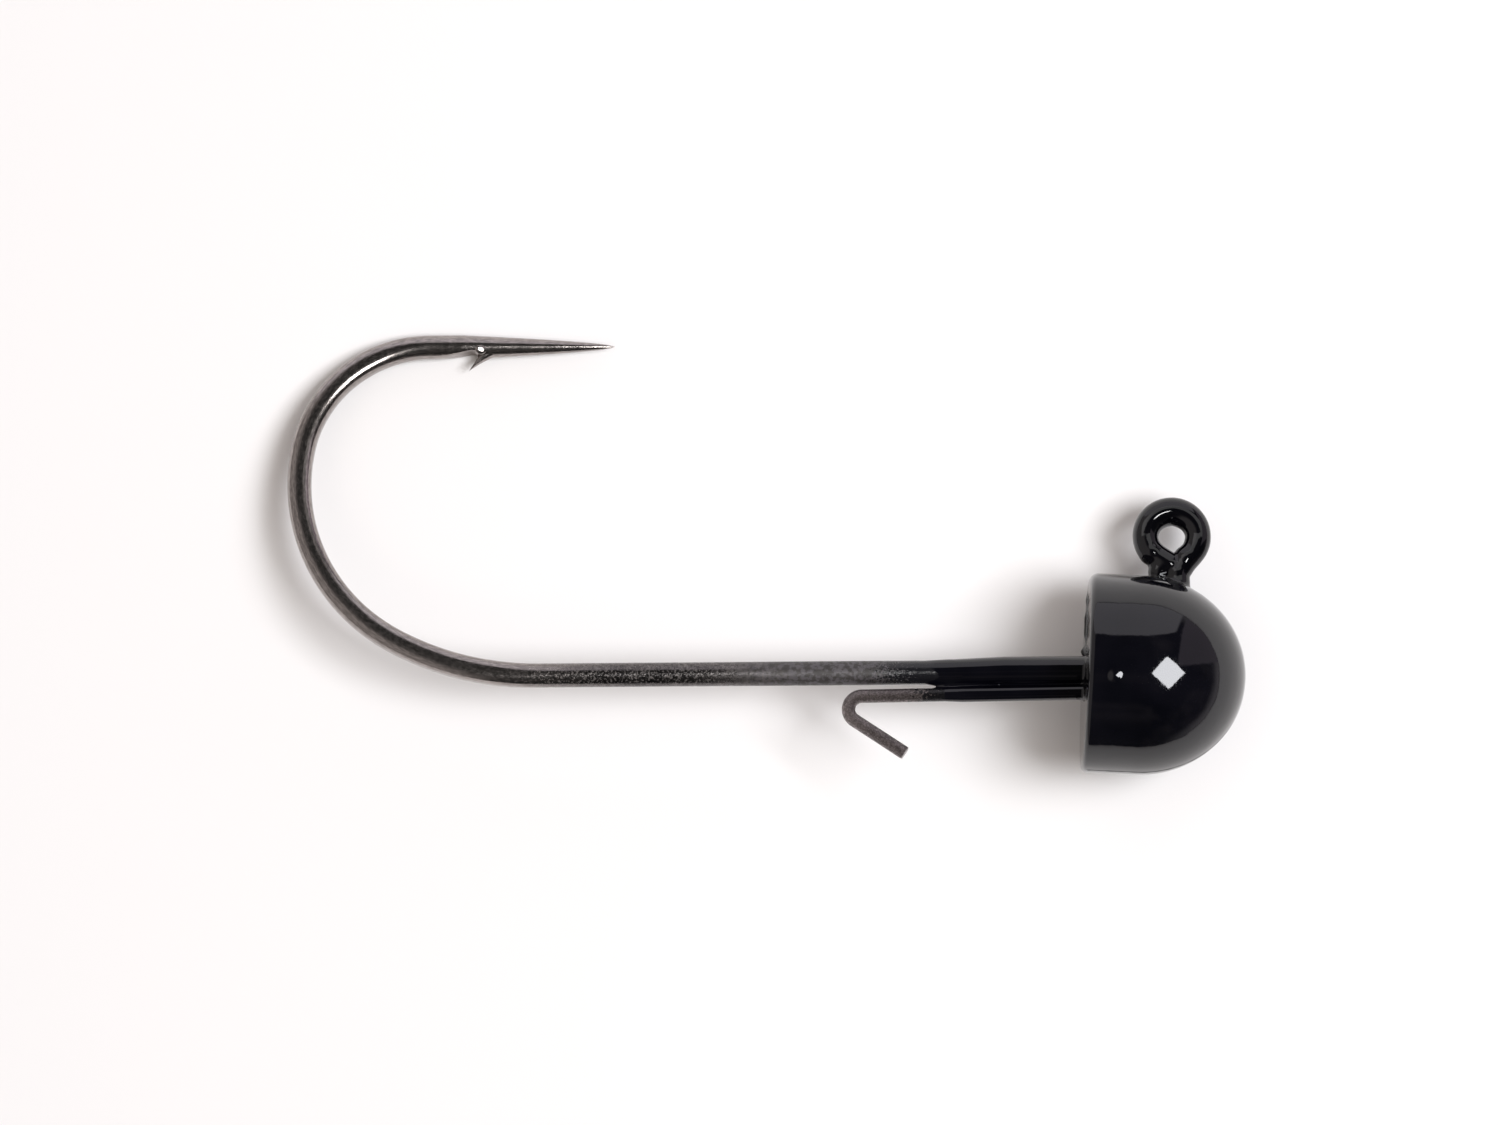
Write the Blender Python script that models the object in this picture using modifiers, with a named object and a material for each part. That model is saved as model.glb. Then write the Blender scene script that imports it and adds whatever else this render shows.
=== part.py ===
"""A painted lead jig head, moulded round a 90 degree jig hook and a wire bait keeper.

The hook, the keeper and the head share one flat plane, the hook plane. It is drawn flat, with x along the
shank towards the nose, y towards the eye and the point, and the shank's axis leaving the head's rear face at
(0, 0). The whole jig is then rolled about x until it lies on its side, on the head and on the hook's point
side, and its origin is put in the middle of its box, on the surface that it lies on. Metres, +Z up.
"""

from math import asin, ceil, cos, pi, radians, sin

import bmesh
import bpy
from mathutils import Vector

MM = 0.001

# Hook
WIRE_RADIUS = 0.60 * MM
EYE_WIRE_RADIUS = 0.54 * MM
SHANK_LENGTH = 27.25 * MM  # behind the head's rear face
HOOK_BEND = (  # centreline radius and turn of each stretch of the bend
    (14.25 * MM, radians(29.8)),
    (9.27 * MM, radians(71.9)),
    (6.50 * MM, radians(78.6)),
)
POINT_STRAIGHT = 1.54 * MM
POINT_TAPER = 7.60 * MM
TAPER_POWER = 0.6  # under 1 gives a bulged needle point
TIP_SHARE = 0.04
HEEL_START = 3.30 * MM  # ahead of the rear face, inside the head
HEEL_RADIUS = 1.40 * MM
STEM_TOP = 4.93 * MM  # height over the shank's axis at which the stem leans off to the ring
NECK_RADIUS = 0.946 * MM
NECK_TURN = radians(58.7)
RING_RADIUS = 1.325 * MM  # centreline
RING_SWEEP = radians(273.7)
RING_END_RADIUS = 2.3 * MM  # the ring's last stretch is straighter, and its cut end stops short of the stem
RING_END_TURN = radians(26.0)

# Barb: distance back from the point's tip, and down from the point's axis
BARB_TIP = (7.29 * MM, 1.26 * MM)
BARB_FRONT = (6.17 * MM, 0.50 * MM)
BARB_NOTCH = (6.89 * MM, 0.30 * MM)
SCOOP_START = (8.87 * MM, 0.62 * MM)
BARB_WIDTH = 0.44 * MM

# Bait keeper
KEEPER_RADIUS = 0.335 * MM
KEEPER_DROP = 1.05 * MM  # under the shank's axis at the rear face
KEEPER_SPLAY = radians(0.68)
KEEPER_LENGTH = 11.07 * MM
KEEPER_BEND_RADIUS = 0.67 * MM
KEEPER_BEND_TURN = radians(145.0)
KEEPER_BARB_LENGTH = 3.0 * MM
KEEPER_ROOT_LENGTH = 1.60 * MM
KEEPER_FOOT_RADIUS = 0.70 * MM
KEEPER_FOOT_LENGTH = 0.90 * MM

# Head
HEAD_RADIUS = 4.94 * MM  # over the paint
SKIRT_LENGTH = 2.70 * MM  # the straight-sided stretch in front of the rear face
NOSE_LENGTH = 5.24 * MM
RIM_CHAMFER = 0.20 * MM
HEAD_TILT = radians(3.1)  # the nose hangs below the shank's line
HEAD_DROP = 0.06 * MM
HEAD_COAT = 0.08 * MM

# Paint on the wires
EYE_COAT_RADIUS = 0.60 * MM
EYE_BRIDGE = 0.35 * MM  # how far the paint runs on past the wire's cut end, into the paint on the stem
SHANK_COAT_RADIUS = 0.66 * MM
SHANK_COAT_LENGTH = 8.0 * MM
KEEPER_COAT_RADIUS = 0.39 * MM
KEEPER_COAT_LENGTH = 7.5 * MM
WEB_WIDTH = 0.48 * MM  # the paint that bridges the groove between the shank and the keeper
WEB_HEIGHT = 0.50 * MM
WEB_LENGTH = 7.0 * MM

# Fits
CLEARANCE = 0.02 * MM  # between pieces that touch on the real object
SINK = 0.01 * MM  # how far a joined tube lies inside the one that it runs into
FACE_GAP = 0.08 * MM  # from the rear face to the paint on the shank

# Fineness
WIDE_STEP = radians(8.0)
TIGHT_STEP = radians(15.1)
WIRE_SIDES = 12
HEAD_SIDES = 40
NOSE_STEPS = 8
TAPER_STEPS = 10
MERGE = 0.001 * MM


class WirePath:
    """A wire's centreline in the hook plane, grown from straight runs and tangent arcs.

    Each point is x, y and the wire's radius there.
    """

    def __init__(self, x, y, heading, radius):
        self.points = [(x, y, radius)]
        self.heading = heading
        self.radius = radius

    def straight(self, length):
        x, y, _ = self.points[-1]
        self.points.append((x + length * cos(self.heading), y + length * sin(self.heading), self.radius))

    def arc(self, bend_radius, turn, step=TIGHT_STEP):
        """Turns left by a positive angle and right by a negative one."""
        side = bend_radius if turn > 0 else -bend_radius
        x, y, _ = self.points[-1]
        centre_x = x - side * sin(self.heading)
        centre_y = y + side * cos(self.heading)
        start = self.heading
        count = ceil(abs(turn) / step)
        for i in range(1, count + 1):
            self.heading = start + turn * i / count
            self.points.append(
                (centre_x + side * sin(self.heading), centre_y - side * cos(self.heading), self.radius)
            )

    def taper(self, length, steps):
        """Runs out straight to a needle point."""
        full = self.radius
        for i in range(1, steps + 1):
            self.radius = full * max((1.0 - i / steps) ** TAPER_POWER, TIP_SHARE)
            self.straight(length / steps)


def back_to_back(one, other):
    """One list of points through two paths that start at the same point and leave it in opposite ways."""
    return one.points[:0:-1] + other.points


def climb_stem(path):
    """Goes up the stem and through the reverse curve that leads into the ring."""
    path.straight(STEM_TOP - HEEL_RADIUS)
    path.arc(NECK_RADIUS, -NECK_TURN)


def close_ring(path):
    """Goes round the ring to the wire's cut end."""
    path.arc(RING_RADIUS, RING_SWEEP)
    path.arc(RING_END_RADIUS, RING_END_TURN)


def eye_side():
    """From the rear face through the heel, up the stem and round the ring to the wire's cut end."""
    path = WirePath(0.0, 0.0, 0.0, WIRE_RADIUS)
    path.straight(HEEL_START)
    path.arc(HEEL_RADIUS, pi / 2)
    path.radius = EYE_WIRE_RADIUS
    climb_stem(path)
    close_ring(path)
    return path


def point_side():
    """From the rear face back along the shank, round the bend and out to the tip of the point."""
    path = WirePath(0.0, 0.0, pi, WIRE_RADIUS)
    path.straight(SHANK_LENGTH / 2)
    path.straight(SHANK_LENGTH / 2)
    for bend_radius, turn in HOOK_BEND:
        path.arc(bend_radius, -turn, WIDE_STEP)
    path.straight(POINT_STRAIGHT)
    path.taper(POINT_TAPER, TAPER_STEPS)
    return path


def keeper_root():
    """From the rear face into the lead, ending in a foot turned away from the hook."""
    path = WirePath(0.0, -KEEPER_DROP, KEEPER_SPLAY, KEEPER_RADIUS)
    path.straight(KEEPER_ROOT_LENGTH)
    path.arc(KEEPER_FOOT_RADIUS, -pi / 2 - KEEPER_SPLAY)
    path.straight(KEEPER_FOOT_LENGTH)
    return path


def keeper_tail():
    """From the rear face back along the shank and round into the keeper's barb."""
    path = WirePath(0.0, -KEEPER_DROP, pi + KEEPER_SPLAY, KEEPER_RADIUS)
    path.straight(KEEPER_LENGTH)
    path.arc(KEEPER_BEND_RADIUS, KEEPER_BEND_TURN)
    path.straight(KEEPER_BARB_LENGTH)
    return path


def head_outline(inset):
    """The head's half outline as radius and height, from the nose tip round to the middle of the rear face."""
    radius = HEAD_RADIUS - inset
    nose = NOSE_LENGTH - inset
    outline = [(0.0, SKIRT_LENGTH + nose)]
    for i in range(1, NOSE_STEPS + 1):
        angle = pi / 2 * i / NOSE_STEPS
        outline.append((radius * sin(angle), SKIRT_LENGTH + nose * cos(angle)))
    outline.append((radius, inset + RIM_CHAMFER))
    outline.append((radius - RIM_CHAMFER, inset))
    outline.append((0.0, inset))
    return outline


def link(obj, collection, parent):
    collection.objects.link(obj)
    obj.parent = parent
    return obj


def as_mesh(name, curve):
    """A mesh object of the curve with its caps welded on. The curve is removed."""
    source = bpy.data.objects.new(name + "_curve", curve)
    bpy.context.scene.collection.objects.link(source)
    graph = bpy.context.evaluated_depsgraph_get()
    mesh = bpy.data.meshes.new_from_object(source.evaluated_get(graph))
    mesh.name = name
    bpy.data.objects.remove(source)
    bpy.data.curves.remove(curve)
    weld = bmesh.new()
    weld.from_mesh(mesh)
    bmesh.ops.remove_doubles(weld, verts=weld.verts, dist=MERGE)
    bmesh.ops.recalc_face_normals(weld, faces=weld.faces)
    weld.to_mesh(mesh)
    weld.free()
    mesh.shade_smooth()
    mesh.set_sharp_from_angle(angle=radians(40))
    return bpy.data.objects.new(name, mesh)


def tube(name, points, extra=0.0):
    """A round bar along the points, thicker than their own radius by the extra."""
    curve = bpy.data.curves.new(name, "CURVE")
    curve.dimensions = "3D"
    curve.twist_mode = "Z_UP"
    curve.bevel_depth = MM
    curve.bevel_resolution = (WIRE_SIDES - 4) // 2
    curve.use_fill_caps = True
    spline = curve.splines.new("POLY")
    spline.points.add(len(points) - 1)
    for spot, (x, y, radius) in zip(spline.points, points):
        spot.co = (x, y, 0.0, 1.0)
        spot.radius = (radius + extra) / MM
    return as_mesh(name, curve)


def plate(name, outline, thickness):
    """A flat outline in the hook plane, given half the thickness on each side."""
    curve = bpy.data.curves.new(name, "CURVE")
    curve.dimensions = "2D"
    curve.fill_mode = "BOTH"
    curve.extrude = thickness / 2
    spline = curve.splines.new("POLY")
    spline.use_cyclic_u = True
    spline.points.add(len(outline) - 1)
    for spot, (x, y) in zip(spline.points, outline):
        spot.co = (x, y, 0.0, 1.0)
    return as_mesh(name, curve)


def turned(name, *outlines):
    """A solid turned from half outlines of radius and height, with its top laid towards +x."""
    mesh = bpy.data.meshes.new(name)
    points = []
    edges = []
    for outline in outlines:
        first = len(points)
        points += [(radius, 0.0, height) for radius, height in outline]
        edges += [(i, i + 1) for i in range(first, len(points) - 1)]
    mesh.from_pydata(points, edges, [])
    obj = bpy.data.objects.new(name, mesh)
    obj.rotation_euler = (0.0, pi / 2, 0.0)
    screw = obj.modifiers.new("turn", "SCREW")
    screw.steps = HEAD_SIDES
    screw.render_steps = HEAD_SIDES
    screw.use_merge_vertices = True
    screw.merge_threshold = MERGE
    return obj


def join(obj, other):
    modifier = obj.modifiers.new("join " + other.name, "BOOLEAN")
    modifier.operation = "UNION"
    modifier.object = other


def cut(obj, other):
    modifier = obj.modifiers.new("cut " + other.name, "BOOLEAN")
    modifier.operation = "DIFFERENCE"
    modifier.object = other


def make_hook(parts, helpers, plane):
    """The hook: tapered wire, with a scoop cut into the point and the barb that the scoop raised."""
    point = point_side()
    hook = link(tube("jig_hook", back_to_back(eye_side(), point)), parts, plane)
    tip_x, tip_y, _ = point.points[-1]
    along = Vector((cos(point.heading), sin(point.heading)))
    down = Vector((along.y, -along.x))

    def place(back, below):
        return Vector((tip_x, tip_y)) - back * along + below * down

    clear = 2 * BARB_TIP[1]
    scoop_outline = [
        place(*SCOOP_START),
        place(*BARB_NOTCH),
        place(BARB_NOTCH[0], clear),
        place(SCOOP_START[0], clear),
    ]
    scoop = link(plate("barb_scoop", scoop_outline, 4 * WIRE_RADIUS), helpers, plane)
    barb_outline = [
        place(*BARB_TIP),
        place(*BARB_FRONT),
        place(BARB_FRONT[0], 0.0),
        place(BARB_NOTCH[0], 0.0),
        place(*BARB_NOTCH),
    ]
    barb = link(plate("barb_sliver", barb_outline, BARB_WIDTH), helpers, plane)
    cut(hook, scoop)
    join(hook, barb)
    return hook


def make_keeper(parts, plane):
    return link(tube("keeper_wire", back_to_back(keeper_root(), keeper_tail())), parts, plane)


def make_hook_channel(helpers, plane):
    """The painted stretch of the hook plus the clearance, which the lead and the paint leave free."""
    eye = eye_side()
    eye.straight(CLEARANCE)
    shank = WirePath(0.0, 0.0, pi, WIRE_RADIUS)
    shank.straight(1.2 * SHANK_COAT_LENGTH)
    return link(tube("hook_channel", back_to_back(eye, shank), CLEARANCE), helpers, plane)


def make_keeper_channel(helpers, plane):
    """The keeper plus the clearance."""
    root = keeper_root()
    root.straight(CLEARANCE)
    return link(tube("keeper_channel", back_to_back(root, keeper_tail()), CLEARANCE), helpers, plane)


def make_head(parts, helpers, head_axis, channels):
    """The lead casting, the paint shell round it, and a copy of the outside that trims the paint on the eye."""
    casting = link(turned("head_casting", head_outline(HEAD_COAT + CLEARANCE)), parts, head_axis)
    coat = link(turned("head_coat", head_outline(0.0), head_outline(HEAD_COAT)[::-1]), parts, head_axis)
    for channel in channels:
        cut(casting, channel)
        cut(coat, channel)
    outside = link(turned("head_outside", head_outline(-CLEARANCE)), helpers, head_axis)
    return casting, coat, outside


def make_eye_coat(parts, helpers, plane, hook_channel, head_outside):
    """The paint on the ring and the stem, which also bridges the joint where the wire's end meets the stem."""
    stem = WirePath(HEEL_START + HEEL_RADIUS, HEEL_RADIUS, pi / 2, EYE_COAT_RADIUS - SINK)
    climb_stem(stem)
    neck_x, neck_y, _ = stem.points[-1]
    ring = WirePath(neck_x, neck_y, stem.heading, EYE_COAT_RADIUS)
    close_ring(ring)
    ring.straight(EYE_BRIDGE)
    stem.arc(RING_RADIUS, 2 * TIGHT_STEP)
    coat = link(tube("eye_coat", ring.points), parts, plane)
    join(coat, link(tube("stem_coat", stem.points), helpers, plane))
    cut(coat, hook_channel)
    cut(coat, head_outside)
    return coat


def make_shank_coat(parts, helpers, plane, channels):
    """The paint that runs down the shank and the keeper, and fills the groove between them."""

    def on_keeper(back):
        return -back, -KEEPER_DROP - back * sin(KEEPER_SPLAY), KEEPER_COAT_RADIUS

    shank_points = [(-FACE_GAP, 0.0, SHANK_COAT_RADIUS), (-SHANK_COAT_LENGTH, 0.0, SHANK_COAT_RADIUS)]
    coat = link(tube("shank_coat", shank_points), parts, plane)
    keeper_points = [on_keeper(1.1 * FACE_GAP), on_keeper(KEEPER_COAT_LENGTH)]
    join(coat, link(tube("keeper_paint", keeper_points), helpers, plane))
    groove = -(WIRE_RADIUS + KEEPER_DROP - KEEPER_RADIUS) / 2
    web_outline = [
        (-1.2 * FACE_GAP, groove + WEB_HEIGHT / 2),
        (-WEB_LENGTH, groove + WEB_HEIGHT / 2),
        (-WEB_LENGTH, groove - WEB_HEIGHT / 2),
        (-1.2 * FACE_GAP, groove - WEB_HEIGHT / 2),
    ]
    join(coat, link(plate("groove_paint", web_outline, WEB_WIDTH), helpers, plane))
    for channel in channels:
        cut(coat, channel)
    return coat


def paint(obj, name, colour, roughness, metallic=0.0, coat=0.0):
    """Gives the object a material of its own."""
    material = bpy.data.materials.new(name)
    material.use_nodes = True
    shader = material.node_tree.nodes["Principled BSDF"]
    shader.inputs["Base Color"].default_value = (*colour, 1.0)
    shader.inputs["Roughness"].default_value = roughness
    shader.inputs["Metallic"].default_value = metallic
    shader.inputs["Coat Weight"].default_value = coat
    material.diffuse_color = (*colour, 1.0)
    obj.data.materials.append(material)


def lay_on_side(plane):
    """Rolls the hook plane so that the head and the hook's point side both touch the ground."""
    gape = max(y for _, y, _ in point_side().points)
    plane.rotation_euler = (-asin((HEAD_RADIUS - WIRE_RADIUS) / gape), 0.0, 0.0)


def centre_on_ground(plane, parts):
    """Moves the whole jig so that its origin is in the middle of its box, at the height it lies on."""
    bpy.context.view_layer.update()
    graph = bpy.context.evaluated_depsgraph_get()
    corners = []
    for part in parts.objects:
        shape = part.evaluated_get(graph)
        mesh = shape.to_mesh()
        corners += [shape.matrix_world @ vertex.co for vertex in mesh.vertices]
        shape.to_mesh_clear()
    low = Vector(min(corner[i] for corner in corners) for i in range(3))
    high = Vector(max(corner[i] for corner in corners) for i in range(3))
    plane.location = (-(low.x + high.x) / 2, -(low.y + high.y) / 2, -low.z)


def main():
    for obj in list(bpy.data.objects):
        bpy.data.objects.remove(obj)
    scene_collection = bpy.context.scene.collection
    parts = bpy.data.collections.new("jig_head")
    helpers = bpy.data.collections.new("cutters_and_joiners")
    scene_collection.children.link(parts)
    scene_collection.children.link(helpers)

    plane = link(bpy.data.objects.new("hook_plane", None), scene_collection, None)
    head_axis = link(bpy.data.objects.new("head_axis", None), scene_collection, plane)
    head_axis.location = (0.0, -HEAD_DROP, 0.0)
    head_axis.rotation_euler = (0.0, 0.0, -HEAD_TILT)
    lay_on_side(plane)

    hook = make_hook(parts, helpers, plane)
    keeper = make_keeper(parts, plane)
    hook_channel = make_hook_channel(helpers, plane)
    channels = (hook_channel, make_keeper_channel(helpers, plane))
    casting, head_coat, head_outside = make_head(parts, helpers, head_axis, channels)
    eye_coat = make_eye_coat(parts, helpers, plane, hook_channel, head_outside)
    shank_coat = make_shank_coat(parts, helpers, plane, channels)

    paint(hook, "black_nickel_hook", (0.19, 0.175, 0.16), 0.28, metallic=1.0)
    paint(keeper, "black_nickel_keeper", (0.15, 0.14, 0.13), 0.32, metallic=1.0)
    paint(casting, "cast_lead", (0.32, 0.32, 0.33), 0.6, metallic=1.0)
    paint(head_coat, "black_enamel_head", (0.012, 0.012, 0.013), 0.08, coat=1.0)
    paint(eye_coat, "black_enamel_eye", (0.012, 0.012, 0.013), 0.10, coat=1.0)
    paint(shank_coat, "black_enamel_shank", (0.014, 0.014, 0.014), 0.12, coat=1.0)

    for helper in helpers.objects:
        helper.hide_render = True
        helper.display_type = "WIRE"
    centre_on_ground(plane, parts)


main()
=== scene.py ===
"""Looks for a painted lead jig head on a 90 degree hook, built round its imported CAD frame.

Shapes are drawn in millimetres in the hook plane, the flat plane that the hook, the keeper and the
head share: x along the shank towards the nose, y towards the eye and the point, with the shank's
axis leaving the head's rear face at (0, 0). One matrix then scales them to metres and lays them
where the CAD lies.
"""

from math import asin, ceil, cos, pi, radians, sin, tau

import bmesh
import bpy
import numpy as np
from mathutils import Matrix, Vector
from mathutils.kdtree import KDTree


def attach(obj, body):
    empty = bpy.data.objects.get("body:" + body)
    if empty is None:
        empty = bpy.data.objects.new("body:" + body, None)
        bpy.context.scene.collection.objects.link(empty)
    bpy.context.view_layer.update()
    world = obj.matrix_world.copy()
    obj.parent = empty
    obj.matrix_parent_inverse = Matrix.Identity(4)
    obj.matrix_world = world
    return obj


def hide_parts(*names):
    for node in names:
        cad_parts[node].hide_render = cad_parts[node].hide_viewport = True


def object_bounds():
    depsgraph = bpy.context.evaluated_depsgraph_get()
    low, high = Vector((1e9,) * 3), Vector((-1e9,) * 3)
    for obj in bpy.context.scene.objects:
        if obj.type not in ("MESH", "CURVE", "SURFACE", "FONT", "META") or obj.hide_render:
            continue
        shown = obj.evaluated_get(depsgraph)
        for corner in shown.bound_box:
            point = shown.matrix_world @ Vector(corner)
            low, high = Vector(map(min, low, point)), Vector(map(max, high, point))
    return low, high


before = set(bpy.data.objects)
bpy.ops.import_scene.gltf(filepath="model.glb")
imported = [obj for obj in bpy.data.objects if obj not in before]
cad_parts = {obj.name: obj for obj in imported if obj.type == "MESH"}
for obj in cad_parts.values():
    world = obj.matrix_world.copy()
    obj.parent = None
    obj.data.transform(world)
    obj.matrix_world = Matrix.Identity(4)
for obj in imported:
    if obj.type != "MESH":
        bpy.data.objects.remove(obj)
cad_low, cad_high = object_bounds()

MM = 0.001

# Lengths are in millimetres. Bends and turns are in degrees, unless radians() is written.

# Hook wire, from the head's rear face along the shank to the point
WIRE_RADIUS = 0.60
SHANK_LENGTH = 27.25
HOOK_BEND = ((14.25, 29.8), (9.27, 71.9), (6.50, 78.6))  # centreline radius and turn
POINT_STRAIGHT = 1.54
POINT_TAPER = 7.60
TAPER_POWER = 0.6
TIP_SHARE = 0.04
POINT_STEP = 0.05
HOOK_SIDES = 48
HOOK_END_BEVEL = 0.06

# Forged stretch of the bend, by length along the wire
FORGE_START = 26.5
FORGE_END = 55.0
FORGE_EASE = 3.0
FORGE_SQUARE = 0.8  # added to the power of 2 that a round section has

# Scoop that the chisel cut in the point, by distance back from the tip
SCOOP_START = 6.88
SCOOP_END = 9.2
SCOOP_EASE = 2.0
SCOOP_POWER = 1.5
SCOOP_CLEARANCE = 1.02
SCOOP_DEPTH = 0.32
SCOOP_BLEND = 0.06

# Barb, in distance back from the tip and distance below the point's axis
BARB_FRONT = ((5.35, 0.28), (6.50, 0.60), (7.29, 1.26))
BARB_REAR = ((6.42, 0.02), (6.84, 0.52), (7.28, 1.25))
BARB_HALF_WIDTH = 0.40
BARB_NARROWING = 0.7
BARB_TIP_HALF_WIDTH = 0.02
BARB_SIDES = 28
BARB_STEPS = 26

# Flat at the barb's root
NICK_BACK = 6.68
NICK_BELOW = 0.27
NICK_TOP = 0.56
NICK_HALF_LENGTH = 0.28
NICK_HALF_WIDTH = 0.22
NICK_SLOPE = (0.221, 0.328)  # fall towards the tip and away from the axis
NICK_SIDES = 32
NICK_DOME = (  # share of the half sizes, and drop below the top
    (1.15, 0.35), (1.05, 0.12), (0.95, 0.05), (0.80, 0.02), (0.50, 0.006), (0.20, 0.001),
)

# Hook wire, from the head's rear face through the head to the line eye
EYE_WIRE_RADIUS = 0.54
HEEL_START = 3.30
HEEL_RADIUS = 1.40
STEM_TOP = 4.93
NECK_RADIUS = 0.946
NECK_TURN = 58.7
RING_RADIUS = 1.325
RING_SWEEP = 273.7
RING_END_RADIUS = 2.3
RING_END_TURN = 26.0
RING_ARC = 2  # the ring is this wire's third bend

# Keeper
KEEPER_RADIUS = 0.335
KEEPER_DROP = 1.05
KEEPER_SPLAY = 0.68
KEEPER_LENGTH = 11.07
KEEPER_BEND_RADIUS = 0.67
KEEPER_BEND_TURN = 145.0
KEEPER_BARB_LENGTH = 3.0
KEEPER_ROOT_LENGTH = 1.60
KEEPER_ROOT_RADIUS = 0.70
KEEPER_FOOT_LENGTH = 0.90
KEEPER_ROOT_BEVEL = 0.03
KEEPER_TIP_BEVEL = 0.035
KEEPER_SIDES = 40
STEEL_SHARP = 38.0  # edges that turn more than this stay sharp

# Head
HEAD_RADIUS = 4.94
SKIRT_LENGTH = 2.70
NOSE_LENGTH = 5.24
RIM_ROUND = 0.24
RIM_WEAR = 0.20  # how much rounder the rim is at the eye side
HEAD_TILT = radians(3.1)
HEAD_DROP = 0.06
HEAD_COAT = 0.08
HEAD_SIDES = 480
HEAD_CROWDING = 0.375  # draws the sides together near the parting line
HEAD_INNER_SIDES = 96
HEAD_INNER_FINENESS = 0.3
HEAD_SHARP = 50.0
RUN_X = 1.28  # a paint run on the head's top, with its turn round the axis
RUN_TURN = radians(104.9)

# Paint on the wires, as its outer radius and the distance it reaches from the head
EYE_COAT = 0.61
SHANK_COAT = 0.655
SHANK_COAT_END = 8.0
SHANK_SAG = 0.055  # extra paint on the eye side next to the head
KEEPER_COAT = 0.388
KEEPER_COAT_END = 7.3
COAT_OVERLAP = 0.02  # how far below the steel's surface a paint's thin end runs
HEAD_LIFT = 0.012  # how far the paint's foot spreads above the head's paint
HEAD_SINK = 0.07  # and how far it reaches down into it
EYE_NET_STEP = 0.038
SHANK_NET_STEP = 0.045


# ---------------------------------------------------------------- wires


class Wire:
    """A wire's centreline as stations of x, y, heading, radius and length along, with its arcs."""

    def __init__(self, x, y, heading, radius, step=0.12):
        self.heading = radians(heading)
        self.radius = radius
        self.step = step
        self.stations = [(x, y, self.heading, radius, 0.0)]
        self.arcs = []

    def straight(self, length, step=None):
        x, y, _, _, along = self.stations[-1]
        count = ceil(length / (step or self.step))
        dx, dy = cos(self.heading), sin(self.heading)
        for i in range(1, count + 1):
            d = length * i / count
            self.stations.append((x + d * dx, y + d * dy, self.heading, self.radius, along + d))
        return self

    def arc(self, bend_radius, degrees):
        """Turns left by positive degrees and right by negative ones."""
        turn = radians(degrees)
        side = bend_radius if turn > 0 else -bend_radius
        x, y, _, _, along = self.stations[-1]
        centre_x = x - side * sin(self.heading)
        centre_y = y + side * cos(self.heading)
        start = self.heading
        count = ceil(bend_radius * abs(turn) / self.step)
        for i in range(1, count + 1):
            self.heading = start + turn * i / count
            self.stations.append(
                (
                    centre_x + side * sin(self.heading),
                    centre_y - side * cos(self.heading),
                    self.heading,
                    self.radius,
                    along + bend_radius * abs(turn) * i / count,
                )
            )
        first = start - pi / 2 if turn > 0 else start + pi / 2
        self.arcs.append((centre_x, centre_y, bend_radius, first, turn))
        return self

    def taper(self, length, step):
        """Runs out straight to a needle point."""
        full = self.radius
        x, y, _, _, along = self.stations[-1]
        count = ceil(length / step)
        dx, dy = cos(self.heading), sin(self.heading)
        for i in range(1, count + 1):
            d = length * i / count
            self.radius = full * max((1.0 - i / count) ** TAPER_POWER, TIP_SHARE)
            self.stations.append((x + d * dx, y + d * dy, self.heading, self.radius, along + d))
        return self


def back_to_back(one, other):
    """Stations through two wires with one start; lengths along the first turn negative."""
    reverse = [(x, y, h + pi, r, -s) for x, y, h, r, s in one.stations[:0:-1]]
    return reverse + other.stations


def eye_wire():
    wire = Wire(0.0, 0.0, 0.0, WIRE_RADIUS)
    wire.straight(HEEL_START)
    wire.step = 0.06
    wire.arc(HEEL_RADIUS, 90)
    wire.radius = EYE_WIRE_RADIUS
    wire.straight(STEM_TOP - HEEL_RADIUS)
    wire.arc(NECK_RADIUS, -NECK_TURN)
    wire.arc(RING_RADIUS, RING_SWEEP)
    wire.arc(RING_END_RADIUS, RING_END_TURN)
    return wire


def point_wire():
    wire = Wire(0.0, 0.0, 180.0, WIRE_RADIUS)
    wire.straight(SHANK_LENGTH)
    for bend_radius, degrees in HOOK_BEND:
        wire.arc(bend_radius, -degrees)
    wire.straight(POINT_STRAIGHT, POINT_STEP)
    wire.taper(POINT_TAPER, POINT_STEP)
    return wire


def keeper_tail():
    wire = Wire(0.0, -KEEPER_DROP, 180.0 + KEEPER_SPLAY, KEEPER_RADIUS, step=0.08)
    wire.straight(KEEPER_LENGTH)
    wire.step = 0.04
    wire.arc(KEEPER_BEND_RADIUS, KEEPER_BEND_TURN)
    wire.straight(KEEPER_BARB_LENGTH, 0.08)
    return wire


def keeper_root():
    wire = Wire(0.0, -KEEPER_DROP, KEEPER_SPLAY, KEEPER_RADIUS, step=0.08)
    wire.straight(KEEPER_ROOT_LENGTH)
    wire.arc(KEEPER_ROOT_RADIUS, -90.0 - KEEPER_SPLAY)
    wire.straight(KEEPER_FOOT_LENGTH)
    return wire


# ---------------------------------------------------------------- placing


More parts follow.
